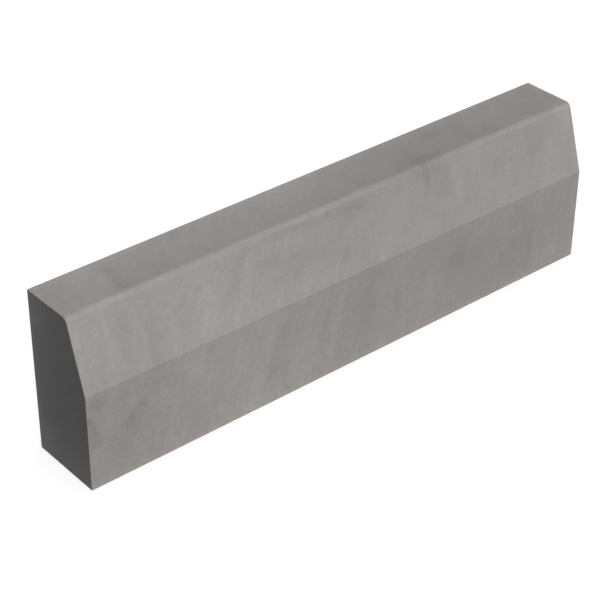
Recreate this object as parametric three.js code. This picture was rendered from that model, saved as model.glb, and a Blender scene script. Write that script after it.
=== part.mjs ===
// Half-battered concrete kerb stone: one precast unit, pressed solid.
//
// Millimetres. The origin is the centre of the base. +X runs along the kerb,
// +Y points to its back, where the footway is, and +Z points up. The front
// faces the road: upright at the foot, then leaning back above the knee.

import * as THREE from 'three';

// Driving dimensions
const LENGTH = 915;        // one unit, end face to end face
const BASE_WIDTH = 120;    // upright front to upright back
const HEIGHT = 255;        // bed to top
const KNEE_HEIGHT = 150;   // bed to the line where the front starts to lean back
const TOP_WIDTH = 80;      // flat tread, from the back to the start of the nose
const NOSE_RADIUS = 10;    // rounding between the tread and the leaning face
const ARRIS = 1;           // 45 degree easing left on every other outer edge

// How finely the curves are faceted
const NOSE_STEPS = 16;     // straight facets round the nose
const EDGE_STEPS = 1;      // a plain chamfer round each end face

const CONCRETE_GREY = 0x97938f;

// Places in the section, where y runs from front to back and z upwards
const front = -BASE_WIDTH / 2;
const back = BASE_WIDTH / 2;
const noseCentre = new THREE.Vector2(back - TOP_WIDTH, HEIGHT - NOSE_RADIUS);

// Lean of the battered face from the vertical. The face starts at the knee and
// meets the nose as a tangent, so no line shows where the curve begins.
function batterAngle() {
  const across = noseCentre.x - front;
  const up = noseCentre.y - KNEE_HEIGHT;
  const towardsCentre = Math.atan2(across, up);
  const besideNose = Math.asin(NOSE_RADIUS / Math.hypot(across, up));
  return towardsCentre - besideNose;
}

// Outline of the section, anticlockwise from the eased front edge of the bed
function kerbSection() {
  const section = new THREE.Shape();
  section.moveTo(front + ARRIS, 0);
  section.lineTo(back - ARRIS, 0);
  section.lineTo(back, ARRIS);
  section.lineTo(back, HEIGHT - ARRIS);
  section.lineTo(back - ARRIS, HEIGHT);
  section.lineTo(noseCentre.x, HEIGHT);
  const noseStart = Math.PI / 2;
  const noseEnd = Math.PI - batterAngle();
  section.absarc(noseCentre.x, noseCentre.y, NOSE_RADIUS, noseStart, noseEnd, false);
  section.lineTo(front, KNEE_HEIGHT);
  section.lineTo(front, ARRIS);
  section.closePath();
  return section;
}

// The section drawn along the kerb's length, with its edges eased at both ends.
// The easing is cut into the length and the section, so neither grows by it.
function kerbGeometry() {
  const geometry = new THREE.ExtrudeGeometry(kerbSection(), {
    depth: LENGTH - 2 * ARRIS,
    steps: 1,
    curveSegments: NOSE_STEPS / 2,
    bevelEnabled: true,
    bevelThickness: ARRIS,
    bevelSize: ARRIS,
    bevelOffset: -ARRIS,
    bevelSegments: EDGE_STEPS,
  });
  geometry.translate(0, 0, ARRIS - LENGTH / 2);
  geometry.rotateX(Math.PI / 2);
  geometry.rotateZ(Math.PI / 2);
  return geometry;
}

function concrete() {
  return new THREE.MeshStandardMaterial({
    name: 'concrete',
    color: CONCRETE_GREY,
    roughness: 0.9,
    metalness: 0,
  });
}

function kerbStone() {
  const stone = new THREE.Mesh(kerbGeometry(), concrete());
  stone.name = 'kerb_stone';
  return stone;
}

const kerb = new THREE.Group();
kerb.add(kerbStone());

export default kerb;
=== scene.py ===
"""Half-battered concrete kerb stone: its finished surface, stage, light and camera.

Metres, in the part's own frame: X along the kerb, Y to its upright back, Z up,
with the origin at the centre of the base. "Girth" is the distance round the
section from the back edge of the top. It grows down the nose, the leaning face
and the upright front, and on the back it is negative.
"""

import math
from collections import namedtuple

import bpy
import numpy as np
from mathutils import Matrix, Vector, noise


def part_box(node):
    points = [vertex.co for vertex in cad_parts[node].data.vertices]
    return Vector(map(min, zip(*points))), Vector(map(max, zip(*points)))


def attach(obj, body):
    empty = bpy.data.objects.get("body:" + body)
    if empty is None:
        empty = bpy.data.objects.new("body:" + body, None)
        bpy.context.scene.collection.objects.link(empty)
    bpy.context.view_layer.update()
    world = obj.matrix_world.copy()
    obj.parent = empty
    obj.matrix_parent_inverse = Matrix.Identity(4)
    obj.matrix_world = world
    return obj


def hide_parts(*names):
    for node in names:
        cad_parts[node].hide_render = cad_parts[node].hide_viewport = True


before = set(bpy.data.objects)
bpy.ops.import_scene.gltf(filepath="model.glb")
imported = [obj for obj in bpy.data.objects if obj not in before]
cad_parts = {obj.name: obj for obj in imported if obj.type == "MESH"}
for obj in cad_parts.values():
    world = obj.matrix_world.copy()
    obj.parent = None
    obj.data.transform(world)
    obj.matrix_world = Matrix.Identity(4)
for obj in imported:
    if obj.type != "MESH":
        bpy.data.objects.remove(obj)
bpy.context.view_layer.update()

MM = 0.001
QUARTER = math.pi / 2

# ---------------------------------------------------------------- the section
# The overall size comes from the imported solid. The knee, top and nose repeat the
# values of its source, and the arrises are crisper than its easing, like the photo's.
NODE = "kerb_stone"
low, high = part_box(NODE)
LENGTH = high.x - low.x
FRONT, BACK = low.y, high.y
HEIGHT = high.z
KNEE_HEIGHT = 150 * MM
TOP_WIDTH = 80 * MM
NOSE_RADIUS = 10 * MM
ARRIS_RADIUS = 0.5 * MM          # long edges
END_ARRIS_RADIUS = 0.4 * MM      # edges round the two end faces

# ------------------------------------------------------------------- the mesh
CELL = 3 * MM                    # usual spacing of vertices
SUPPORT = 0.5 * MM               # rows this near an edge keep its shading tight
HALF_ARRIS_STEPS = 2             # faces across half the rounding of an arris
HALF_NOSE_STEPS = 6              # and across half the nose

# Relief: a depth and a typical size, always inwards from the true section
SAG = (0.06 * MM, 140 * MM)      # faces are a little out of flat
RIPPLE = (0.03 * MM, 14 * MM)    # left by the skin of the mould
NIBBLE = (0.15 * MM, 9 * MM)     # along the arrises only


def direction(angle):
    return Vector((math.cos(angle), math.sin(angle)))


def lean_angle():
    """Lean of the battered face from the vertical: it is tangent to the nose."""
    across = (BACK - TOP_WIDTH) - FRONT
    up = (HEIGHT - NOSE_RADIUS) - KNEE_HEIGHT
    return math.atan2(across, up) - math.asin(NOSE_RADIUS / math.hypot(across, up))


def straight(start, end, steps):
    """Points and normals of a flat run, with a support row beside each end."""
    run = end - start
    normal = Vector((run.y, -run.x)).normalized()
    margin = SUPPORT / run.length
    spots = [0, *np.linspace(margin, 1 - margin, steps - 1), 1]
    return [(start + run * t, normal) for t in spots]


def arc(centre, radius, start, end, steps):
    """Points and normals of a rounding."""
    angles = np.linspace(start, end, steps + 1)
    return [(centre + direction(a) * radius, direction(a)) for a in angles]


Outline = namedtuple("Outline", "points normals arris across upright")


def kerb_outline():
    """The section as a ring, anticlockwise from half way round the front foot.

    `across` steps make the bed, and as many make the top; `upright` steps make
    the back, and as many make the front. So each end face can be a grid.
    """
    r = ARRIS_RADIUS
    lean = lean_angle()
    front_foot = Vector((FRONT + r, r))
    back_foot = Vector((BACK - r, r))
    back_top = Vector((BACK - r, HEIGHT - r))
    nose = Vector((BACK - TOP_WIDTH, HEIGHT - NOSE_RADIUS))
    nose_end = math.pi - lean
    nose_middle = (QUARTER + nose_end) / 2
    nose_foot = nose + direction(nose_end) * NOSE_RADIUS
    knee = Vector((FRONT, KNEE_HEIGHT))

    half = HALF_ARRIS_STEPS
    top_steps = round(TOP_WIDTH / CELL)
    batter_steps = round((nose_foot - knee).length / CELL)
    front_steps = round(KNEE_HEIGHT / CELL)
    across = half + top_steps + HALF_NOSE_STEPS
    upright = HALF_NOSE_STEPS + batter_steps + front_steps + half

    runs = [
        ("arris", arc(front_foot, r, 2.5 * QUARTER, 3 * QUARTER, half)),
        ("bed", straight(Vector((FRONT + r, 0)), Vector((BACK - r, 0)), across - 2 * half)),
        ("arris", arc(back_foot, r, 3 * QUARTER, 4 * QUARTER, 2 * half)),
        ("back", straight(Vector((BACK, r)), Vector((BACK, HEIGHT - r)), upright - 2 * half)),
        ("arris", arc(back_top, r, 0, QUARTER, 2 * half)),
        ("top", straight(Vector((BACK - r, HEIGHT)), Vector((nose.x, HEIGHT)), top_steps)),
        ("nose", arc(nose, NOSE_RADIUS, QUARTER, nose_middle, HALF_NOSE_STEPS)),
        ("nose", arc(nose, NOSE_RADIUS, nose_middle, nose_end, HALF_NOSE_STEPS)),
        ("batter", straight(nose_foot, knee, batter_steps)),
        ("front", straight(knee, Vector((FRONT, r)), front_steps)),
        ("arris", arc(front_foot, r, 2 * QUARTER, 2.5 * QUARTER, half)),
    ]
    points, normals, arris = [], [], []
    for name, run in runs:
        if name == "front":
            run[0] = (knee, (run[0][1] + normals[-1]).normalized())
        for point, normal in run[:-1]:
            points.append(point)
            normals.append(normal)
            arris.append(name == "arris")
    return Outline(points, normals, arris, across, upright)


def stations():
    """Places along the kerb, each with how far the section is drawn in there."""
    r = END_ARRIS_RADIUS
    end = LENGTH / 2
    inner = end - r - SUPPORT
    steps = round(2 * inner / CELL)
    rounding = [QUARTER * k / (2 * HALF_ARRIS_STEPS) for k in range(2 * HALF_ARRIS_STEPS + 1)]
    right = [(end - r + r * math.sin(a), r - r * math.cos(a)) for a in rounding]
    left = [(-x, inset) for x, inset in reversed(right)]
    middle = [(x, 0) for x in np.linspace(-inner, inner, steps + 1)]
    return left + middle + right


def girths(outline):
    """Girth of each ring vertex, for the faces above the bed and for the bed."""
    points = outline.points
    steps = [(points[i] - points[i - 1]).length for i in range(1, len(points))]
    steps.append((points[0] - points[-1]).length)
    walked = np.concatenate([[0], np.cumsum(steps)])
    total = walked[-1]
    top_edge = walked[outline.across + outline.upright]
    above = walked - top_edge
    bed = walked + total - top_edge
    return above, bed


def grain(point, size):
    """Smooth noise, -1 to 1, over lengths of about `size`."""
    return noise.noise(Vector(point) / size)


def relief(point, on_arris):
    """Depth of the surface below the true section at a point."""
    sag_depth, sag_size = SAG
    ripple_depth, ripple_size = RIPPLE
    nibble_depth, nibble_size = NIBBLE
    depth = sag_depth * (1 + grain(point, sag_size)) / 2
    depth += ripple_depth * (1 + grain(point, ripple_size)) / 2
    if on_arris:
        depth += nibble_depth * max(0, grain(point, nibble_size))
    return depth


def end_grid(ring, across, upright):
    """Inner points of an end face, spread evenly between its four sides."""
    count = len(ring)
    corners = (ring[0], ring[across], ring[2 * across + upright], ring[across + upright])
    inner = []
    for row in range(1, upright):
        v = row / upright
        left = ring[(count - row) % count]
        right = ring[across + row]
        for column in range(1, across):
            u = column / across
            bottom = ring[column]
            top = ring[2 * across + upright - column]
            flat = (corners[0] * (1 - u) + corners[1] * u) * (1 - v)
            flat += (corners[2] * (1 - u) + corners[3] * u) * v
            point = bottom * (1 - v) + top * v + left * (1 - u) + right * u - flat
            inner.append(point)
    return inner


# Layout of the baked surface in its square: the girth unrolled, and the two ends in
# a row above it
SHEET = 1.02 * LENGTH            # side of the square
SHEET_MARGIN = 0.01 * LENGTH     # round every piece of the layout
PAST_ONE_PIECE = 3 * SHEET_MARGIN  # its two margins, and the next piece's first

# The ends' places in the patterns start this far beyond the long faces' places
END_PATTERN_SHIFT = 0.3


class Skin:
    """The stone's closed mesh as it grows, with two maps at its face corners.

    "Wrap" gives length and girth in metres, for the patterns. "OFBake" is the
    same sheet laid out in one square.
    """

    def __init__(self):
        self.outline = kerb_outline()
        self.above, self.bed = girths(self.outline)
        self.ring_size = len(self.outline.points)
        self.vertices, self.faces = [], []
        self.wrap, self.bake = [], []

    def add_vertex(self, point, facing, on_arris):
        self.vertices.append(point - facing * relief(point, on_arris))

    def add_face(self, vertices, wrap, bake):
        self.faces.append(tuple(vertices))
        self.wrap.extend(wrap)
        self.bake.extend(bake)

    def unrolled(self, x, girth):
        """Where a place on the long faces lies in the square."""
        last = self.bed[self.outline.across]
        return (x + LENGTH / 2 + SHEET_MARGIN) / SHEET, (last - girth + SHEET_MARGIN) / SHEET

    def add_long_faces(self, rows):
        """One ring of vertices at each row, and faces between them."""
        outline = self.outline
        for x, inset in rows:
            tilt = math.acos(1 - inset / END_ARRIS_RADIUS)
            for point, normal, arris in zip(outline.points, outline.normals, outline.arris):
                place = point - normal * inset
                facing = Vector((math.copysign(math.sin(tilt), x), *(normal * math.cos(tilt))))
                self.add_vertex(Vector((x, *place)), facing, arris or inset > 0)
        for row in range(len(rows) - 1):
            x0, x1 = rows[row][0], rows[row + 1][0]
            here = row * self.ring_size
            there = here + self.ring_size
            for i in range(self.ring_size):
                k = (i + 1) % self.ring_size
                g0, g1 = (self.bed if i < outline.across else self.above)[i:i + 2]
                wrap = [(x0, g0), (x0, g1), (x1, g1), (x1, g0)]
                bake = [self.unrolled(*place) for place in wrap]
                self.add_face((here + i, here + k, there + k, there + i), wrap, bake)

    def end_place_in_square(self, y, z, side):
        """Where a place on an end face lies in the square."""
        across, above, bed = self.outline.across, self.above, self.bed
        right = z + SHEET_MARGIN if side < 0 else z + HEIGHT + PAST_ONE_PIECE
        up = bed[across] - above[across] + PAST_ONE_PIECE
        up += BACK - y if side > 0 else y - FRONT
        return right / SHEET, up / SHEET

    def add_end(self, first, side):
        """Fills one end face. `first` is its ring's first vertex, `side` is -1 or 1."""
        across, upright = self.outline.across, self.outline.upright
        ring = [point - normal * END_ARRIS_RADIUS
                for point, normal in zip(self.outline.points, self.outline.normals)]
        inner = end_grid(ring, across, upright)
        x = side * LENGTH / 2
        places = ring + inner
        numbers = [first + i for i in range(len(ring))]
        numbers += [len(self.vertices) + i for i in range(len(inner))]
        for place in inner:
            self.add_vertex(Vector((x, *place)), Vector((side, 0, 0)), False)

        def spot(u, v):
            """Which of the places is u steps across and v steps up."""
            if v == 0:
                return u
            if v == upright:
                return 2 * across + upright - u
            if u == 0:
                return len(ring) - v
            if u == across:
                return across + v
            return len(ring) + (v - 1) * (across - 1) + u - 1

        for v in range(upright):
            for u in range(across):
                quad = [spot(u, v), spot(u + 1, v), spot(u + 1, v + 1), spot(u, v + 1)]
                if side < 0:
                    quad.reverse()
                around = [places[i] for i in quad]
                wrap = [(x + side * (END_PATTERN_SHIFT + y), z) for y, z in around]
                bake = [self.end_place_in_square(y, z, side) for y, z in around]
                self.add_face([numbers[i] for i in quad], wrap, bake)


def store_patterns(mesh, skin):
    """Stores what the material reads at every face corner."""
    corners = [vertex for face in skin.faces for vertex in face]
    wrap = np.array(skin.wrap)
    along, girth = (wrap[:, 0] + LENGTH / 2) / MM, wrap[:, 1] / MM

    def total_of(patches):
        return sum(patch_shade(along, girth, patch) for patch in patches)

    patterns = {
        # paste, with the painted light and shade of the nose, ends and rims
        "PasteAndLight": paste_and_light_shade(skin.vertices, corners, along, girth),
        "Crazed": total_of([CRAZE]),
        "Elsewhere": 1 + total_of([PLACED]),
        "Floated": FLOATED_AT_ENDS + total_of([FLOATED]),
        # painted tint by face, for how each face takes the lamps
        "FaceTint": 1 + total_of(PAINTED_FACE_TINT),
        "Gritty": total_of(GRITTY),
    }
    for name, values in patterns.items():
        mesh.attributes.new(name, "FLOAT", "CORNER").data.foreach_set("value", values)


def kerb_mesh():
    """The whole stone as one closed mesh with its relief, maps and patterns."""
    rows = stations()
    skin = Skin()
    skin.add_long_faces(rows)
    skin.add_end(0, -1)
    skin.add_end((len(rows) - 1) * skin.ring_size, 1)

    mesh = bpy.data.meshes.new("kerb_concrete")
    mesh.from_pydata(skin.vertices, [], skin.faces)
    for name, places in (("OFBake", skin.bake), ("Wrap", skin.wrap)):
        layer = mesh.uv_layers.new(name=name)
        layer.data.foreach_set("uv", np.array(places, float).ravel())
    store_patterns(mesh, skin)
    mesh.polygons.foreach_set("use_smooth", [True] * len(mesh.polygons))
    mesh.update()
    return mesh


# --------------------------------------------------------------- the concrete
GREY = 0.2664                    # of the dry stone, in linear light
WARMTH = (0.0181, -0.0034, -0.0192)  # how far its colour is from that plain grey
WARMTH_KEPT = 0.25               # share of it that lighter and darker paste leaves alone
ROUGHNESS = (0.84, 0.94)         # least and most, with the sand
SPECULAR_LEVEL = 0.15            # dry concrete is nearly dull

# The float was swept round the section in curves, steep at the foot of the
# front and leaning over more and more up to the top.
SWEEP_RADIUS = 380               # millimetres, like the places below
SWEEP_FOOT = 345                 # girth at which a sweep runs straight down
SWEEP_FADE = (10, 230)           # from the left end: no bend, then the full bend

# Patches of lighter and darker colour, listed one by one: most are paste, and the
# nose, end and rim patches are painted light and shade. Places are millimetres from
# the left end and round the girth, and sizes are half sizes in the same two
# directions. Lean is degrees to the right at the upper end. Shade is the change of
# colour. Soft is the share of the patch over which its edge fades. A block has
# corners, and fade points to the side (right, down) where the patch dies away.
OVAL, BLOCK = False, True
Patch = namedtuple("Patch", "along girth half_along half_girth lean shade soft block fade",
                   defaults=(OVAL, None))
TO_LEFT, TO_RIGHT, UPWARDS, DOWNWARDS = (-1, 0), (1, 0), (0, -1), (0, 1)
OUTER_SOFTNESS = 0.25            # fading outside the outline, against that inside it

TOP_PATCHES = [
    # over the whole face
    Patch(600, 40, 330, 46, 0, -0.057, 0.05, BLOCK, TO_LEFT),
    Patch(457, 46, 480, 42, 0, -0.050, 0.05, BLOCK, UPWARDS),
    Patch(640, 50, 150, 60, 0, -0.030, 1.0),
    Patch(395, 6, 125, 52, 0, 0.062, 1.0),
    Patch(250, 25, 260, 70, 0, 0.032, 0.9),
    # along the nose
    Patch(34, 72, 34, 14, 0, 0.030, 0.9),
    Patch(520, 74, 45, 12, 0, -0.026, 1.0),
    Patch(700, 74, 40, 10, 0, -0.022, 1.0),
    Patch(845, 78, 60, 9, 0, 0.032, 1.0),
    Patch(895, 76, 34, 14, 0, 0.055, 1.0),
    # left end
    Patch(65, 52, 30, 60, 8, 0.048, 0.6),
    Patch(20, 38, 9, 28, 12, -0.025, 1.0),
    Patch(37, 60, 5, 22, 8, -0.020, 1.0),
    Patch(75, 18, 8, 14, 20, 0.030, 0.9),
    # dark band, with a sharp left side and dark streaks right of it
    Patch(111, 51, 19, 28, 9, -0.082, 0.3, BLOCK, TO_RIGHT),
    Patch(106, 32, 9, 9, 0, -0.042, 0.9),
    Patch(101, 74, 12, 9, 0, -0.024, 0.8),
    Patch(125, 16, 42, 20, 0, -0.024, 1.0),
    Patch(160, 60, 42, 26, 0, -0.030, 1.0),
    Patch(153, 41, 5, 11, 10, -0.030, 0.9),
    Patch(173, 66, 8, 11, 15, -0.030, 0.9),
    Patch(184, 42, 5, 10, 25, -0.030, 0.9),
    Patch(140, 18, 28, 14, 0, 0.025, 1.0),
    # middle
    Patch(201, 31, 8, 17, 20, 0.025, 0.9),
    Patch(275, 18, 62, 32, 0, 0.020, 1.0),
    Patch(306, 38, 10, 7, 0, -0.025, 0.9),
    Patch(352, 28, 9, 30, 35, 0.020, 1.0),
    Patch(402, 56, 28, 24, 0, 0.013, 1.0),
    Patch(418, 40, 8, 24, 30, 0.015, 1.0),
    Patch(455, 40, 12, 30, 25, -0.015, 1.0),
    Patch(508, 64, 13, 18, 30, -0.048, 1.0),
    Patch(532, 46, 10, 20, 30, -0.016, 1.0),
    # dark stain by the nose
    Patch(605, 76, 75, 28, 0, -0.042, 1.0),
    Patch(620, 75, 24, 16, 0, -0.042, 0.6),
    Patch(647, 77, 13, 12, 0, -0.045, 0.3, BLOCK),
    Patch(578, 72, 20, 10, 0, -0.015, 0.9),
    Patch(652, 48, 10, 14, 20, -0.030, 0.9),
    # right
    Patch(620, 12, 45, 16, 0, 0.030, 1.0),
    Patch(680, 26, 30, 22, 20, -0.038, 1.0),
    Patch(715, 5, 15, 6, 0, 0.030, 0.9),
    Patch(722, 24, 6, 8, 0, -0.035, 0.9),
    Patch(727, 64, 16, 16, 25, -0.035, 0.9),
    Patch(752, 28, 10, 22, 30, 0.022, 0.9),
    Patch(757, 70, 20, 15, 15, -0.038, 1.0),
    Patch(793, 40, 5, 10, 30, -0.020, 0.9),
    Patch(808, 28, 9, 26, 30, 0.012, 0.9),
    Patch(838, 14, 8, 16, 15, -0.022, 0.9),
    Patch(856, 56, 16, 16, 0, -0.006, 0.9),
    Patch(895, 30, 12, 20, 20, -0.015, 1.0),
    # pale specks
    Patch(320, 60, 3, 3, 0, 0.090, 0.7),
    Patch(388, 54, 3, 3, 0, 0.050, 0.7),
    Patch(463, 65, 3, 3, 0, 0.120, 0.7),
    Patch(570, 52, 4, 3, 0, 0.070, 0.7),
]

BATTER_PATCHES = [
    # over the whole face
    Patch(150, 145, 165, 52, 0, 0.030, 0.05, BLOCK, TO_RIGHT),
    Patch(457, 144, 480, 51.5, 0, -0.018, 0.03, BLOCK, DOWNWARDS),
    Patch(560, 130, 150, 60, 0, -0.018, 1.0),
    Patch(245, 158, 62, 50, 0, 0.015, 1.0),
    # streaks near the left end
    Patch(7, 130, 9, 50, 0, 0.058, 0.9),
    Patch(51, 130, 8, 54, -2, 0.060, 0.8),
    Patch(77, 138, 14, 52, 0, -0.048, 0.8),
    Patch(88, 101, 30, 14, 0, 0.066, 1.0),
    Patch(76, 126, 5, 8, 0, -0.020, 0.9),
    Patch(73, 160, 5, 6, 0, -0.025, 0.9),
    Patch(58, 180, 6, 14, 0, -0.020, 0.9),
    Patch(36, 181, 26, 18, 0, -0.030, 0.9),
    Patch(97, 152, 6, 18, 0, -0.030, 0.9),
    Patch(120, 138, 14, 17, 0, -0.030, 0.9),
    Patch(116, 158, 13, 44, 3, -0.042, 0.8),
    Patch(111, 200, 6, 46, 5, -0.030, 0.7),
    Patch(150, 145, 3.5, 50, 3, 0.034, 0.8),
    # the palest part
    Patch(165, 140, 22, 26, 0, -0.010, 1.0),
    Patch(172, 130, 5, 18, 30, -0.026, 0.9),
    Patch(198, 182, 16, 26, 6, 0.060, 0.9),
    Patch(211, 152, 19, 38, 5, 0.052, 0.8),
    Patch(215, 104, 34, 20, 0, 0.026, 1.0),
    Patch(225, 140, 55, 60, 10, 0.035, 1.0),
    Patch(235, 120, 12, 14, 0, 0.025, 1.0),
    # the band that leans right, dark beside light
    Patch(262, 122, 11, 42, 33, -0.055, 0.6, BLOCK),
    Patch(269, 148, 10, 50, 23, 0.034, 1.0),
    Patch(251, 182, 10, 20, 15, 0.058, 0.9),
    Patch(290, 182, 34, 16, 0, 0.030, 1.0),
    Patch(283, 113, 7, 12, 25, 0.045, 0.9),
    # middle
    Patch(318, 128, 23, 11, 0, -0.050, 0.8),
    Patch(345, 94, 62, 8, 0, -0.030, 0.9),
    Patch(352, 112, 9, 13, 0, 0.030, 0.9),
    Patch(355, 180, 60, 22, 0, 0.027, 1.0),
    Patch(358, 134, 14, 8, 0, -0.035, 0.9),
    Patch(376, 118, 18, 13, 0, 0.015, 1.0),
    Patch(380, 96, 32, 5, 0, -0.062, 0.8),
    Patch(388, 142, 32, 11, 10, -0.030, 0.9),
    Patch(400, 140, 120, 40, 0, -0.025, 1.0),
    Patch(411, 152, 14, 32, 0, -0.020, 1.0),
    Patch(426, 95, 2.6, 6, 30, -0.110, 0.6),
    Patch(430, 99, 130, 9, 0, -0.030, 1.0),
    Patch(433, 168, 4, 30, 34, 0.055, 0.7),
    Patch(444, 162, 10, 17, 30, -0.080, 0.6),
    Patch(458, 194, 8, 6, 0, 0.040, 0.9),
    Patch(466, 148, 15, 9, 0, -0.020, 0.9),
    Patch(470, 102, 34, 16, 0, -0.050, 0.5),
    Patch(470, 115, 11, 7, 10, -0.036, 0.9),
    Patch(492, 108, 34, 9, 18, -0.034, 0.9),
    Patch(508, 97, 26, 7, 0, -0.038, 0.8),
    Patch(511, 188, 11, 12, 0, 0.030, 1.0),
    Patch(512, 180, 50, 24, 0, 0.014, 1.0),
    Patch(528, 166, 14, 15, 0, 0.020, 1.0),
    Patch(545, 178, 22, 20, 0, 0.032, 1.0),
    Patch(570, 102, 90, 10, 0, -0.020, 0.8),
    # run-down stain with a pale stripe on its right
    Patch(613, 101, 10, 20, 5, -0.078, 0.6),
    Patch(617, 120, 12, 20, 0, -0.030, 0.9),
    Patch(607, 126, 5, 13, 12, -0.060, 0.6),
    Patch(598, 95, 4, 5, 0, -0.030, 0.9),
    Patch(603, 144, 3, 11, 8, -0.020, 0.9),
    Patch(640, 118, 18, 32, 0, -0.032, 0.45, BLOCK),
    Patch(640, 180, 42, 30, 0, -0.028, 1.0),
    Patch(667, 111, 9, 8, 0, -0.030, 0.9),
    Patch(670, 108, 34, 20, 0, -0.018, 1.0),
    Patch(676, 104, 18, 12, 0, 0.032, 0.3, BLOCK, TO_RIGHT),
    Patch(673, 130, 13, 32, -7, 0.066, 0.4, BLOCK, TO_RIGHT),
    # round the hair cracks
    Patch(765, 116, 48, 36, 0, -0.024, 1.0),
    Patch(715, 165, 18, 26, 0, 0.012, 1.0),
    Patch(736, 99, 7, 5, 0, 0.050, 0.7),
    Patch(740, 108, 12, 20, 0, 0.028, 1.0),
    Patch(746, 128, 1.3, 28, -3, -0.045, 0.8),
    Patch(757, 131, 4, 4, 0, -0.030, 0.9),
    Patch(777, 94, 6, 4, 0, -0.040, 0.9),
    Patch(778, 170, 28, 22, 0, -0.022, 1.0),
    Patch(783, 200, 9, 20, 0, -0.032, 0.9),
    Patch(790, 115, 8, 11, 0, 0.020, 0.9),
    # right
    Patch(806, 99, 46, 11, 0, -0.034, 0.9),
    Patch(807, 116, 5, 15, -12, 0.038, 0.6),
    Patch(818, 135, 11, 3.6, 30, -0.045, 0.8),
    Patch(830, 119, 20, 24, 0, -0.048, 0.5, BLOCK),
    Patch(860, 188, 32, 13, 0, 0.028, 1.0),
    Patch(876, 165, 9, 11, 0, 0.025, 0.9),
    Patch(892, 178, 9, 12, 0, -0.025, 0.9),
    Patch(898, 112, 17, 32, 0, 0.060, 1.0),
    Patch(908, 100, 8, 15, 0, 0.035, 1.0),
]

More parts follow.
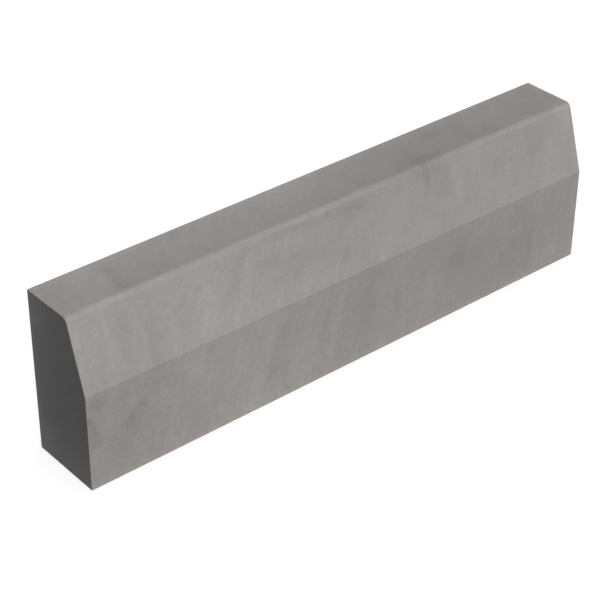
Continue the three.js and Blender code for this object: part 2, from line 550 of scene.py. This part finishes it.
FRONT_PATCHES = [
    # over the whole face
    Patch(457, 320, 480, 28, 0, 0.035, 0.05, BLOCK, UPWARDS),
    Patch(275, 275, 175, 100, 0, 0.068, 1.0),
    Patch(320, 335, 120, 40, 0, 0.040, 1.0),
    Patch(350, 212, 165, 28, 0, 0.013, 1.0),
    Patch(700, 262, 170, 66, 0, -0.035, 1.0),
    Patch(730, 318, 84, 24, 0, -0.014, 1.0),
    # left corner
    Patch(3, 232, 5, 11, 0, -0.080, 0.7),
    Patch(7, 255, 10, 28, -18, -0.095, 0.3, BLOCK),
    Patch(20, 212, 21, 13, 0, -0.066, 0.8),
    Patch(16, 220, 20, 20, 0, -0.038, 1.0),
    Patch(57, 217, 13, 12, 0, -0.028, 0.9),
    Patch(36, 250, 12, 20, 30, 0.030, 0.9),
    # dark gable right of it
    Patch(84, 268, 26, 26, -36, -0.090, 0.16, BLOCK, DOWNWARDS),
    Patch(68, 258, 9, 9, 0, -0.035, 0.9),
    Patch(89, 243, 7, 7, 0, -0.035, 0.8),
    Patch(96, 232, 6, 2.2, 0, -0.035, 0.8),
    Patch(101, 246, 4, 3, 0, -0.025, 0.8),
    Patch(42, 278, 3, 3, 0, -0.120, 0.7),
    Patch(52, 288, 42, 26, 0, -0.045, 1.0),
    Patch(58, 300, 10, 20, -15, -0.028, 0.9),
    Patch(46, 317, 54, 22, 0, -0.040, 1.0),
    # the paler part up to the strokes
    Patch(128, 242, 13, 10, 0, 0.045, 0.9),
    Patch(140, 328, 20, 20, 0, 0.045, 0.9),
    Patch(160, 282, 14, 15, 0, -0.030, 0.9),
    Patch(166, 258, 22, 20, 0, 0.022, 1.0),
    Patch(172, 224, 27, 32, 0, 0.028, 1.0),
    Patch(178, 320, 8, 15, 0, -0.022, 0.9),
    Patch(185, 230, 22, 26, 0, 0.018, 1.0),
    Patch(206, 283, 6, 18, 5, -0.025, 0.9),
    Patch(222, 312, 26, 34, 0, 0.035, 1.0),
    Patch(262, 334, 13, 9, 0, 0.035, 0.9),
    Patch(302, 294, 18, 14, 0, 0.026, 1.0),
    Patch(342, 262, 14, 16, 0, -0.026, 1.0),
    Patch(365, 300, 18, 44, 4, 0.070, 0.8),
    # dark stroke beside a pale stroke
    Patch(411, 212, 6, 20, 10, -0.055, 0.6),
    Patch(404, 248, 6, 24, 10, -0.046, 0.6),
    Patch(395, 276, 8, 24, 8, -0.050, 0.7),
    Patch(402, 320, 2.6, 26, 0, -0.030, 0.8),
    Patch(436, 214, 8, 26, 15, 0.055, 0.8),
    Patch(424, 256, 8, 30, 14, 0.066, 0.8),
    Patch(411, 306, 8, 38, 8, 0.056, 0.8),
    # the wide dark part
    Patch(472, 254, 38, 64, 5, -0.032, 0.6),
    Patch(462, 256, 28, 36, 0, 0.013, 1.0),
    Patch(455, 224, 14, 26, 8, 0.026, 0.9),
    Patch(484, 200, 22, 24, 0, -0.038, 0.8),
    Patch(488, 262, 9, 10, 0, -0.045, 0.8),
    Patch(474, 282, 6, 12, 15, -0.045, 0.8),
    Patch(459, 256, 9, 10, 0, -0.020, 0.9),
    Patch(438, 315, 4, 4.5, 0, -0.050, 0.8),
    Patch(432, 248, 4, 4, 0, -0.030, 0.8),
    Patch(496, 247, 5, 3, 0, -0.030, 0.8),
    Patch(511, 213, 8, 11, 20, -0.060, 0.7),
    Patch(512, 336, 14, 9, 0, 0.030, 0.9),
    # right of it
    Patch(540, 274, 11, 27, 0, -0.062, 0.4),
    Patch(538, 256, 5, 8, 0, -0.020, 0.9),
    Patch(548, 237, 3, 3, 0, -0.080, 0.7),
    Patch(565, 282, 8, 20, 0, 0.018, 0.9),
    Patch(575, 215, 5, 9, 0, -0.025, 0.9),
    Patch(585, 238, 5, 11, 0, -0.020, 0.9),
    Patch(590, 254, 13, 15, -10, -0.038, 0.9),
    Patch(598, 229, 32, 34, 0, -0.026, 1.0),
    Patch(603, 285, 15, 28, 0, 0.045, 0.9),
    Patch(625, 214, 34, 22, 0, -0.034, 1.0),
    Patch(640, 198, 48, 9, 0, -0.026, 1.0),
    # dark middle of the right half
    Patch(663, 254, 28, 25, 0, -0.068, 0.9),
    Patch(640, 250, 26, 17, 0, -0.025, 0.9),
    Patch(638, 282, 9, 7, 0, -0.035, 0.9),
    Patch(667, 236, 12, 14, 0, -0.025, 0.9),
    Patch(668, 222, 34, 28, 0, -0.022, 1.0),
    Patch(678, 300, 20, 40, 0, -0.040, 1.0),
    Patch(700, 262, 17, 26, 0, -0.042, 0.9),
    Patch(720, 221, 22, 18, 0, 0.013, 1.0),
    Patch(721, 268, 3.5, 13, -10, 0.025, 0.8),
    Patch(727, 304, 30, 44, 0, -0.050, 0.9),
    Patch(731, 303, 6, 5, 0, -0.025, 0.9),
    Patch(735, 258, 11, 21, 0, -0.030, 0.8),
    Patch(745, 338, 26, 9, 0, -0.036, 0.9),
    Patch(754, 300, 10, 50, 0, -0.050, 0.8),
    # square stain
    Patch(789, 292, 28, 38, 0, -0.026, 0.15, BLOCK),
    Patch(815, 292, 6, 37, 0, -0.050, 0.45, BLOCK),
    Patch(789, 244, 8, 8, 0, 0.040, 0.6),
    Patch(784, 222, 13, 13, 0, -0.028, 0.9),
    Patch(777, 207, 5, 4, 0, -0.045, 0.8),
    # right corner
    Patch(827, 213, 27, 17, 0, 0.045, 0.9),
    Patch(826, 212, 5, 18, 0, -0.036, 0.8),
    Patch(851, 250, 14, 22, 0, -0.022, 0.9),
    Patch(862, 294, 46, 28, 0, -0.011, 1.0),
    Patch(868, 320, 50, 26, 0, 0.046, 1.0),
    Patch(889, 240, 10, 9, 0, -0.035, 0.9),
    Patch(893, 212, 16, 16, 0, -0.034, 1.0),
    Patch(903, 316, 14, 26, 0, 0.026, 1.0),
    Patch(905, 282, 10, 30, 0, 0.020, 1.0),
]

# Long strokes that follow the sweep of the float. Here along is measured where
# the stroke would meet the foot of the front.
STROKES = [
    Patch(319, 264, 22, 42, 7, -0.075, 0.18, BLOCK, TO_RIGHT),
    Patch(313, 312, 24, 34, 5, -0.028, 0.5, BLOCK, TO_RIGHT),
    Patch(372, 232, 10, 40, 0, -0.015, 0.9),
]

# Painted highlight: a pale line along the nose, with painted shade in a darker line below it
PAINTED_NOSE_HIGHLIGHT = [
    Patch(457, 83, 480, 4, 0, 0.055, 0.7, BLOCK),
    Patch(580, 91, 290, 4, 0, -0.032, 0.7, BLOCK),
    # paler towards the left end
    Patch(90, 84, 110, 4, 0, 0.034, 0.7),
    Patch(98, 90, 11, 6, 0, 0.050, 0.9),
    Patch(110, 86, 170, 6, 0, 0.026, 0.7, BLOCK, TO_RIGHT),
    Patch(200, 84, 260, 5, 0, 0.020, 0.7, BLOCK, TO_RIGHT),
    Patch(250, 86, 60, 4, 0, 0.026, 0.8),
    # middle
    Patch(345, 91, 48, 5, 0, -0.036, 0.8),
    Patch(422, 86, 24, 5, 0, 0.040, 0.9),
    Patch(462, 91, 24, 6, 0, 0.022, 0.9),
    Patch(530, 86, 60, 4, 0, -0.012, 0.7),
    # right
    Patch(740, 84, 176, 5, 0, 0.026, 0.8),
    Patch(810, 91, 50, 4, 0, -0.026, 0.8),
    Patch(825, 83, 52, 4, 0, 0.042, 0.8),
    Patch(895, 86, 45, 7, 0, 0.040, 0.9),
]

# An end face lies past the end of the kerb in these coordinates: along is 300
# further out plus or minus the distance from the middle, and girth is the height.
# Painted light and shade: the left end has painted light growing paler to its foot and
# its back, and painted shade darker by its front, and the right end has weaker painted
# light, a little paler to its foot and its back.
PAINTED_END_LIGHT = [
    Patch(-345, 128, 40, 150, 0, 0.262, 0.02, BLOCK, TO_RIGHT),
    Patch(-355, 262, 60, 90, 0, 0.130, 1.0),
    Patch(-300, 25, 80, 55, 0, 0.360, 0.02, BLOCK, DOWNWARDS),
    Patch(-258, 128, 46, 84, 0, -0.072, 0.8),
    Patch(1243, 128, 46, 150, 0, 0.080, 0.02, BLOCK, TO_LEFT),
    Patch(1215, 32, 80, 46, 0, 0.080, 0.02, BLOCK, DOWNWARDS),
]

# Painted light: pale rims glowing along the outer edges, the foot, the back of the top,
# the right end, and the back and foot of the left end
PAINTED_RIM_LIGHT = [
    Patch(457, 341, 480, 8, 0, 0.080, 0.02, BLOCK, UPWARDS),
    Patch(457, 4, 480, 8, 0, 0.070, 0.02, BLOCK, DOWNWARDS),
    Patch(911, 172, 8, 190, 0, 0.060, 0.02, BLOCK, TO_LEFT),
    Patch(-354, 128, 14, 150, 0, 0.120, 0.02, BLOCK, TO_RIGHT),
    Patch(-300, 4, 80, 14, 0, 0.160, 0.02, BLOCK, DOWNWARDS),
]

# The painted light and shade of the nose, ends and rims keep their outlines, and the
# other patches' outlines stray. How far they stray: sizes in metres and reaches in
# millimetres. A patch with a smaller half size than WANDER_FROM strays in proportion.
WANDER = [(20 * MM, 3.2), (6 * MM, 1.3)]
WANDER_APART = Vector((0, 0, 1))  # from the noise for one direction to the other's
WANDER_FROM = 22

# What every patch's shade is multiplied by, if its outline strays and if it doesn't,
# which is the painted light and shade of the nose, ends and rims
PATCH_STRENGTH = 1.35
PAINTED_LIGHT_STRENGTH = 1.25

# Everything seen from the front and above, where the patches are listed and the
# random stains are weak
PLACED = Patch(457, 172, 474, 186, 0, -0.7, 0.02, BLOCK)

# Painted light: a tint by face, the top and front a little warmer than the battered
# face between them, as each face takes the lamps differently
PAINTED_FACE_TINT = [
    Patch(457, 40, 480, 42, 0, 0.045, 0.05, BLOCK),
    Patch(457, 144, 480, 52, 0, -0.045, 0.05, BLOCK),
    Patch(457, 270, 480, 76, 0, 0.03, 0.05, BLOCK),
]

# Stronger grain, in two spots near the left end
GRITTY = [Patch(60, 265, 85, 85, 0, 0.9, 0.9), Patch(85, 140, 75, 50, 0, 0.7, 0.9)]

# The float went over the long faces, and hardly over the two ends
FLOATED = Patch(457, 0, 460, 600, 0, 0.95, 0.01, BLOCK)
FLOATED_AT_ENDS = 0.05


class Tree:
    """Short calls for building one material's nodes. A value is a socket or a number."""

    def __init__(self, owner):
        owner.use_nodes = True
        self.tree = owner.node_tree
        self.tree.nodes.clear()

    def add(self, kind, values=(), **settings):
        node = self.tree.nodes.new("ShaderNode" + kind)
        for key, value in settings.items():
            setattr(node, key, value)
        for key, value in dict(values).items():
            self.put(value, node.inputs[key])
        return node

    def put(self, value, socket):
        if isinstance(value, bpy.types.NodeSocket):
            self.tree.links.new(value, socket)
        else:
            socket.default_value = value

    def stored(self, name):
        """A pattern that the mesh holds at its face corners."""
        return self.add("Attribute", attribute_name=name).outputs["Fac"]

    def math(self, operation, a, b=0.0):
        return self.add("Math", {0: a, 1: b}, operation=operation).outputs[0]

    def vector(self, operation, a, b):
        return self.add("VectorMath", {0: a, 1: b}, operation=operation).outputs["Vector"]

    def scaled(self, vector, factor):
        return self.add("VectorMath", {0: vector, "Scale": factor}, operation="SCALE").outputs["Vector"]

    def span(self, value, start, end, low=0.0, high=1.0, smooth=False):
        """`value` carried from start..end to low..high, and held there beyond."""
        values = {"Value": value, "From Min": start, "From Max": end, "To Min": low, "To Max": high}
        kind = "SMOOTHSTEP" if smooth else "LINEAR"
        return self.add("MapRange", values, interpolation_type=kind).outputs["Result"]

    def noise(self, vector, texture, kind="3D"):
        """A value about -1 to 1 that varies over lengths of the texture's size."""
        values = {"Vector": vector, "Scale": 1 / texture.size,
                  "Detail": texture.detail, "Roughness": texture.roughness}
        node = self.add("TexNoise", values, noise_dimensions=kind)
        return self.span(node.outputs["Fac"], *USUAL_NOISE, -1.0, 1.0)

    def total(self, *values):
        result = values[0]
        for value in values[1:]:
            result = self.math("ADD", result, value)
        return result

    def mixed(self, *shares):
        """Sum of values, each times its own weight."""
        return self.total(*(self.math("MULTIPLY", value, weight) for value, weight in shares))


def smooth_step(value, start, end):
    """1 before `start`, 0 past `end`, and a smooth fall between them."""
    t = np.clip((value - start) / (end - start), 0, 1)
    return 1 - t * t * (3 - 2 * t)


def patch_shade(along, girth, patch):
    """Change of colour by one patch at many places, all in millimetres."""
    c, s = direction(math.radians(patch.lean))
    right, down = along - patch.along, girth - patch.girth
    u = (c * right + s * down) / patch.half_along
    v = (c * down - s * right) / patch.half_girth
    distance = np.maximum(abs(u), abs(v)) if patch.block else np.hypot(u, v)
    shade = patch.shade * smooth_step(distance, 1 - patch.soft, 1 + OUTER_SOFTNESS * patch.soft)
    if patch.fade:
        slope = patch.fade[0] * u + patch.fade[1] * v
        shade *= np.clip((1 - slope) / 2, 0, 1)
    return shade


def straightened(along, girth):
    """Places along the kerb with the float's sweeps bent straight."""
    climb = np.clip(SWEEP_FOOT - girth, 0, SWEEP_FOOT)
    share = 1 - smooth_step(along, *SWEEP_FADE)
    return along - share * climb ** 2 / (2 * SWEEP_RADIUS)


def wandering(vertices):
    """How far the patches' outlines stray along and round at each vertex, in millimetres."""
    along, girth = np.zeros(len(vertices)), np.zeros(len(vertices))
    for size, reach in WANDER:
        along += reach * np.array([grain(v, size) for v in vertices])
        girth += reach * np.array([grain(v + WANDER_APART, size) for v in vertices])
    return along, girth


def paste_and_light_shade(vertices, corner_vertices, along, girth):
    """Shade of the listed patches, paste and painted light, at every face corner."""
    stray_along, stray_girth = (stray[corner_vertices] for stray in wandering(vertices))
    unbent = straightened(along, girth)
    shade = np.zeros(len(along))
    # painted highlight, light and shade of the nose, ends and rims
    for patch in PAINTED_NOSE_HIGHLIGHT + PAINTED_END_LIGHT + PAINTED_RIM_LIGHT:
        shade += PAINTED_LIGHT_STRENGTH * patch_shade(along, girth, patch)
    for patches, start in ((TOP_PATCHES + BATTER_PATCHES + FRONT_PATCHES, along), (STROKES, unbent)):
        for patch in patches:
            share = min(1, min(patch.half_along, patch.half_girth) / WANDER_FROM)
            strayed = patch_shade(start + share * stray_along, girth + share * stray_girth, patch)
            shade += PATCH_STRENGTH * strayed
    return shade


# The even textures: each one's share of the colour, and its noise
Texture = namedtuple("Texture", "share size detail roughness")
WIDE_STREAKS = Texture(0.020, 34 * MM, 3.0, 0.5)
STREAKS = Texture(0.025, 11 * MM, 3.0, 0.55)
HAIRS = Texture(0.029, 3.2 * MM, 2.0, 0.5)
CLOUDS = Texture(0.045, 90 * MM, 4.0, 0.5)
MOTTLE = Texture(0.041, 9 * MM, 3.0, 0.6)
SAND = Texture(0.085, 1.7 * MM, 2.0, 0.6)
USUAL_NOISE = (0.25, 0.75)       # range that Blender's noise seldom leaves
STREAK_SHAPE = (1, 0.20, 1)      # drawn out along the sweep, five times their width
HAIR_SHAPE = (1, 0.35, 1)
PLAIN_AT_ENDS = 0.25             # share of clouds, mottle and sand where no float went
GRIT_IN_PATCHES = 0.3

# Dark stains and pale bloom where no patch was listed. Each begins at one
# value of the blots' noise and is full at the other.
BLOTS = {"Scale": 1 / (55 * MM), "Detail": 5.0, "Roughness": 0.55, "Distortion": 0.6}
STAIN = -0.045
STAIN_RANGE = (0.55, 0.64)
BLOOM = 0.035
BLOOM_RANGE = (0.45, 0.34)

# Craze marks: a net of hair cracks over one spot of the battered face
CRAZE = Patch(780, 126, 48, 40, 0, 1.0, 0.5)
CRAZE_SHADE = -0.095
CRAZE_CELL = 19 * MM
CRAZE_WIDTH = 0.06               # share of a cell
CRAZE_BEND = 9 * MM              # cracks stray by up to this
CRAZE_BEND_SIZE = 8 * MM         # over lengths of about this

# Pin holes, few and small, with painted shade inside them
HOLE_SPACING = 13 * MM
HOLE_RARITY = 0.80               # share of the places that have none
HOLE_RADIUS = 0.09               # of the widest, as a share of the spacing
HOLE_PAINTED_SHADE = 0.82

# Fine relief by bump: what sand, mottle and holes add to its height
BUMP_SHARES = (0.35, 0.4, -1.5)
BUMP_STRENGTH = 0.35
BUMP_HEIGHT = 0.1 * MM


def swept(tree, wrap):
    """The wrap coordinates bent so that the float's sweeps run straight."""
    parts = tree.add("SeparateXYZ", {0: wrap})
    along, girth = parts.outputs["X"], parts.outputs["Y"]
    foot, radius = SWEEP_FOOT * MM, SWEEP_RADIUS * MM
    start, end = (place * MM - LENGTH / 2 for place in SWEEP_FADE)
    climb = tree.span(girth, foot, 0.0, 0.0, foot)
    bend = tree.math("DIVIDE", tree.math("MULTIPLY", climb, climb), 2 * radius)
    share = tree.span(along, start, end, smooth=True)
    unbent = tree.math("SUBTRACT", along, tree.math("MULTIPLY", bend, share))
    return tree.add("CombineXYZ", {"X": unbent, "Y": girth}).outputs["Vector"]


def even_texture(tree, sweep, surface, floated, gritty):
    """Shade of the streaks, clouds and sand, and then the three noises used again."""
    stretched = tree.vector("MULTIPLY", sweep, STREAK_SHAPE)
    wide_streaks = tree.noise(stretched, WIDE_STREAKS, kind="2D")
    streaks = tree.noise(stretched, STREAKS, kind="2D")
    hairs = tree.noise(tree.vector("MULTIPLY", sweep, HAIR_SHAPE), HAIRS, kind="2D")
    clouds = tree.noise(surface, CLOUDS)
    mottle = tree.noise(surface, MOTTLE)
    sand = tree.noise(surface, SAND)
    brushed = tree.mixed((wide_streaks, WIDE_STREAKS.share), (streaks, STREAKS.share),
                         (hairs, HAIRS.share))
    grains = tree.math("MULTIPLY", sand, tree.math("ADD", gritty, 1.0))
    plain = tree.mixed((clouds, CLOUDS.share), (mottle, MOTTLE.share), (grains, SAND.share))
    plain_share = tree.span(floated, 0.0, 1.0, PLAIN_AT_ENDS, 1.0)
    shade = tree.mixed((brushed, floated), (plain, plain_share))
    return shade, streaks, mottle, sand


def placed_patches(tree, paste_and_light, mottle, streaks, floated):
    """Shade of the listed patches, paste and painted light alike, with grit inside them."""
    grit = tree.math("MULTIPLY", tree.math("ADD", mottle, streaks), floated)
    grit = tree.span(grit, -1.0, 1.0, 1 - GRIT_IN_PATCHES, 1 + GRIT_IN_PATCHES)
    return tree.math("MULTIPLY", paste_and_light, grit)


def stains(tree, sweep, elsewhere):
    """Shade of the random stains on the other faces."""
    blots = tree.add("TexNoise", {"Vector": sweep, **BLOTS}, noise_dimensions="2D").outputs["Fac"]
    stain = tree.span(blots, *STAIN_RANGE, 0.0, STAIN, smooth=True)
    bloom = tree.span(blots, *BLOOM_RANGE, 0.0, BLOOM, smooth=True)
    return tree.math("MULTIPLY", tree.math("ADD", stain, bloom), elsewhere)


def hair_cracks(tree, wrap, crazed):
    """Shade of the net of hair cracks."""
    bend = tree.add("TexNoise", {"Vector": wrap, "Scale": 1 / CRAZE_BEND_SIZE}, noise_dimensions="2D")
    bent = tree.vector("ADD", wrap, tree.scaled(bend.outputs["Color"], CRAZE_BEND))
    net = tree.add("TexVoronoi", {"Vector": bent, "Scale": 1 / CRAZE_CELL},
                   feature="DISTANCE_TO_EDGE", voronoi_dimensions="2D")
    line = tree.span(net.outputs["Distance"], 0.0, CRAZE_WIDTH, CRAZE_SHADE, 0.0)
    return tree.math("MULTIPLY", line, crazed)


def pin_holes(tree, surface):
    """1 inside a pin hole, else 0."""
    cells = tree.add("TexVoronoi", {"Vector": surface, "Scale": 1 / HOLE_SPACING}, feature="F1")
    chance = tree.add("SeparateColor", {0: cells.outputs["Color"]}).outputs["Red"]
    radius = tree.span(chance, HOLE_RARITY, 1.0, 0.0, HOLE_RADIUS)
    return tree.math("LESS_THAN", cells.outputs["Distance"], radius)


def concrete_colour(tree, shade, face_tint):
    """Grey and warmth at a shade, with the painted face tint. Warmth follows shade only in part."""
    follows = tree.math("MULTIPLY", shade, 1 - WARMTH_KEPT)
    warmth = tree.math("MULTIPLY", tree.math("ADD", follows, WARMTH_KEPT), face_tint)
    return tree.vector("ADD", tree.scaled((GREY,) * 3, shade), tree.scaled(WARMTH, warmth))


def concrete_material():
    material = bpy.data.materials.new("concrete")
    tree = Tree(material)
    surface = tree.add("TexCoord").outputs["Object"]
    wrap = tree.add("UVMap", uv_map="Wrap").outputs["UV"]
    floated = tree.stored("Floated")
    sweep = swept(tree, wrap)

    texture, streaks, mottle, sand = even_texture(tree, sweep, surface, floated, tree.stored("Gritty"))
    # paste and painted light and shade, together
    placed = placed_patches(tree, tree.stored("PasteAndLight"), mottle, streaks, floated)
    stained = stains(tree, sweep, tree.stored("Elsewhere"))
    cracks = hair_cracks(tree, wrap, tree.stored("Crazed"))
    holes = pin_holes(tree, surface)
    shade = tree.total(1.0, texture, placed, stained, cracks)
    # painted shade inside the pin holes
    shade = tree.math("MULTIPLY", shade, tree.span(holes, 0.0, 1.0, 1.0, HOLE_PAINTED_SHADE))

    height = tree.mixed(*zip((sand, mottle, holes), BUMP_SHARES))
    bump = tree.add("Bump", {"Height": height, "Strength": BUMP_STRENGTH, "Distance": BUMP_HEIGHT})
    shader = tree.add("BsdfPrincipled", {
        # colour with the painted tint by face
        "Base Color": concrete_colour(tree, shade, tree.stored("FaceTint")),
        "Roughness": tree.span(sand, -1.0, 1.0, *ROUGHNESS),
        "Specular IOR Level": SPECULAR_LEVEL,
        "Normal": bump.outputs["Normal"],
    })
    tree.add("OutputMaterial", {"Surface": shader.outputs["BSDF"]})
    return material


# ------------------------------------------------------- stage, light, camera
FLOOR_SIZE = 40.0
FLOOR_SEEN = 0.27                # share of the light that the seen floor gives back
FLOOR_GLOW = 0.79                # the rest of its white, which no shadow takes away
FLOOR_BOUNCE = (0.126, 0.142, 0.160)  # its colour for the light it throws on the stone
AMBIENT = (0.095, 0.112, 0.128)  # light that reaches the stone from all round

# Each lamp: where it shines from, its strength on a face turned to it, and its
# width as the stone sees it, in degrees like the two angles
Lamp = namedtuple("Lamp", "name azimuth elevation strength width")
LAMP_DISTANCE = 3                # only keeps them clear of the stone
LAMPS = [
    Lamp("front", 0, 6, 0.978, 25),
    Lamp("overhead", 0, 88, 0.549, 30),
    Lamp("back", 180, 8, 0.70, 25),
    Lamp("right", 90, 8, 0.55, 25),
]


def facing_out(azimuth, elevation):
    """Unit vector from the part to a place round it. Azimuth 0 is its front."""
    a, e = math.radians(azimuth), math.radians(elevation)
    return Vector((math.sin(a) * math.cos(e), -math.cos(a) * math.cos(e), math.sin(e)))


def seen_directly(tree):
    """1 for what the camera sees itself, in a mirror or through glass, else 0."""
    path = tree.add("LightPath")
    seen = tree.math("MAXIMUM", path.outputs["Is Camera Ray"], path.outputs["Is Glossy Ray"])
    return tree.math("MAXIMUM", seen, path.outputs["Is Transmission Ray"])


def floor_material():
    material = bpy.data.materials.new("pale_floor")
    tree = Tree(material)
    lit = tree.add("BsdfDiffuse", {"Color": (FLOOR_SEEN,) * 3 + (1,)})
    glow = tree.add("Emission", {"Color": (1, 1, 1, 1), "Strength": FLOOR_GLOW})
    seen = tree.add("AddShader", {0: lit.outputs[0], 1: glow.outputs[0]})
    bounce = tree.add("BsdfDiffuse", {"Color": (*FLOOR_BOUNCE, 1)})
    mix = tree.add("MixShader", {0: seen_directly(tree), 1: bounce.outputs[0], 2: seen.outputs[0]})
    tree.add("OutputMaterial", {"Surface": mix.outputs[0]})
    return material


def make_floor():
    half = FLOOR_SIZE / 2
    mesh = bpy.data.meshes.new("floor")
    corners = [(-half, -half, 0), (half, -half, 0), (half, half, 0), (-half, half, 0)]
    mesh.from_pydata(corners, [], [(0, 1, 2, 3)])
    mesh.materials.append(floor_material())
    floor = bpy.data.objects.new("floor", mesh)
    bpy.context.collection.objects.link(floor)


def make_world():
    world = bpy.data.worlds.new("studio")
    bpy.context.scene.world = world
    tree = Tree(world)
    ambient = tree.add("Background", {"Color": (*AMBIENT, 1)})
    white = tree.add("Background", {"Color": (1, 1, 1, 1)})
    mix = tree.add("MixShader", {0: seen_directly(tree), 1: ambient.outputs[0], 2: white.outputs[0]})
    tree.add("OutputWorld", {"Surface": mix.outputs[0]})


def make_lamps():
    for lamp in LAMPS:
        light = bpy.data.lights.new(lamp.name + "_light", "SUN")
        light.energy = lamp.strength * math.pi
        light.angle = math.radians(lamp.width)
        holder = bpy.data.objects.new(lamp.name + "_light", light)
        outward = facing_out(lamp.azimuth, lamp.elevation)
        holder.location = outward * LAMP_DISTANCE
        holder.rotation_mode = "QUATERNION"
        holder.rotation_quaternion = outward.to_track_quat("Z", "Y")
        bpy.context.collection.objects.link(holder)


# The camera, found from the straight edges of the kerb in the photograph
CAMERA_PLACE = Vector((-1.4288, -1.6244, 1.5086))
CAMERA_HEADING = 39.547          # degrees from +Y towards +X
CAMERA_DIP = 33.378              # degrees below the horizon
CAMERA_ROLL = -0.035             # degrees round its own axis
LENS_MM = 107.90
SENSOR_MM = 36.0
CAMERA_SHIFT = (0.0321, -0.0077)  # shares of the picture's width


def make_camera():
    data = bpy.data.cameras.new("camera")
    data.sensor_width = SENSOR_MM
    data.lens = LENS_MM
    data.shift_x, data.shift_y = CAMERA_SHIFT
    camera = bpy.data.objects.new("camera", data)
    heading, dip = math.radians(CAMERA_HEADING), math.radians(CAMERA_DIP)
    level = Vector((math.sin(heading), math.cos(heading), 0))
    forward = level * math.cos(dip) - Vector((0, 0, math.sin(dip)))
    roll = Matrix.Rotation(math.radians(CAMERA_ROLL), 4, "Z").to_quaternion()
    camera.rotation_mode = "QUATERNION"
    camera.rotation_quaternion = forward.to_track_quat("-Z", "Y") @ roll
    camera.location = CAMERA_PLACE
    bpy.context.collection.objects.link(camera)
    bpy.context.scene.camera = camera


def make_kerb():
    stone = bpy.data.objects.new("kerb_concrete", kerb_mesh())
    stone.data.materials.append(concrete_material())
    bpy.context.collection.objects.link(stone)
    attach(stone, "root")
    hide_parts(NODE)


bpy.context.scene.view_settings.view_transform = "Standard"
make_kerb()
make_floor()
make_world()
make_lamps()
make_camera()
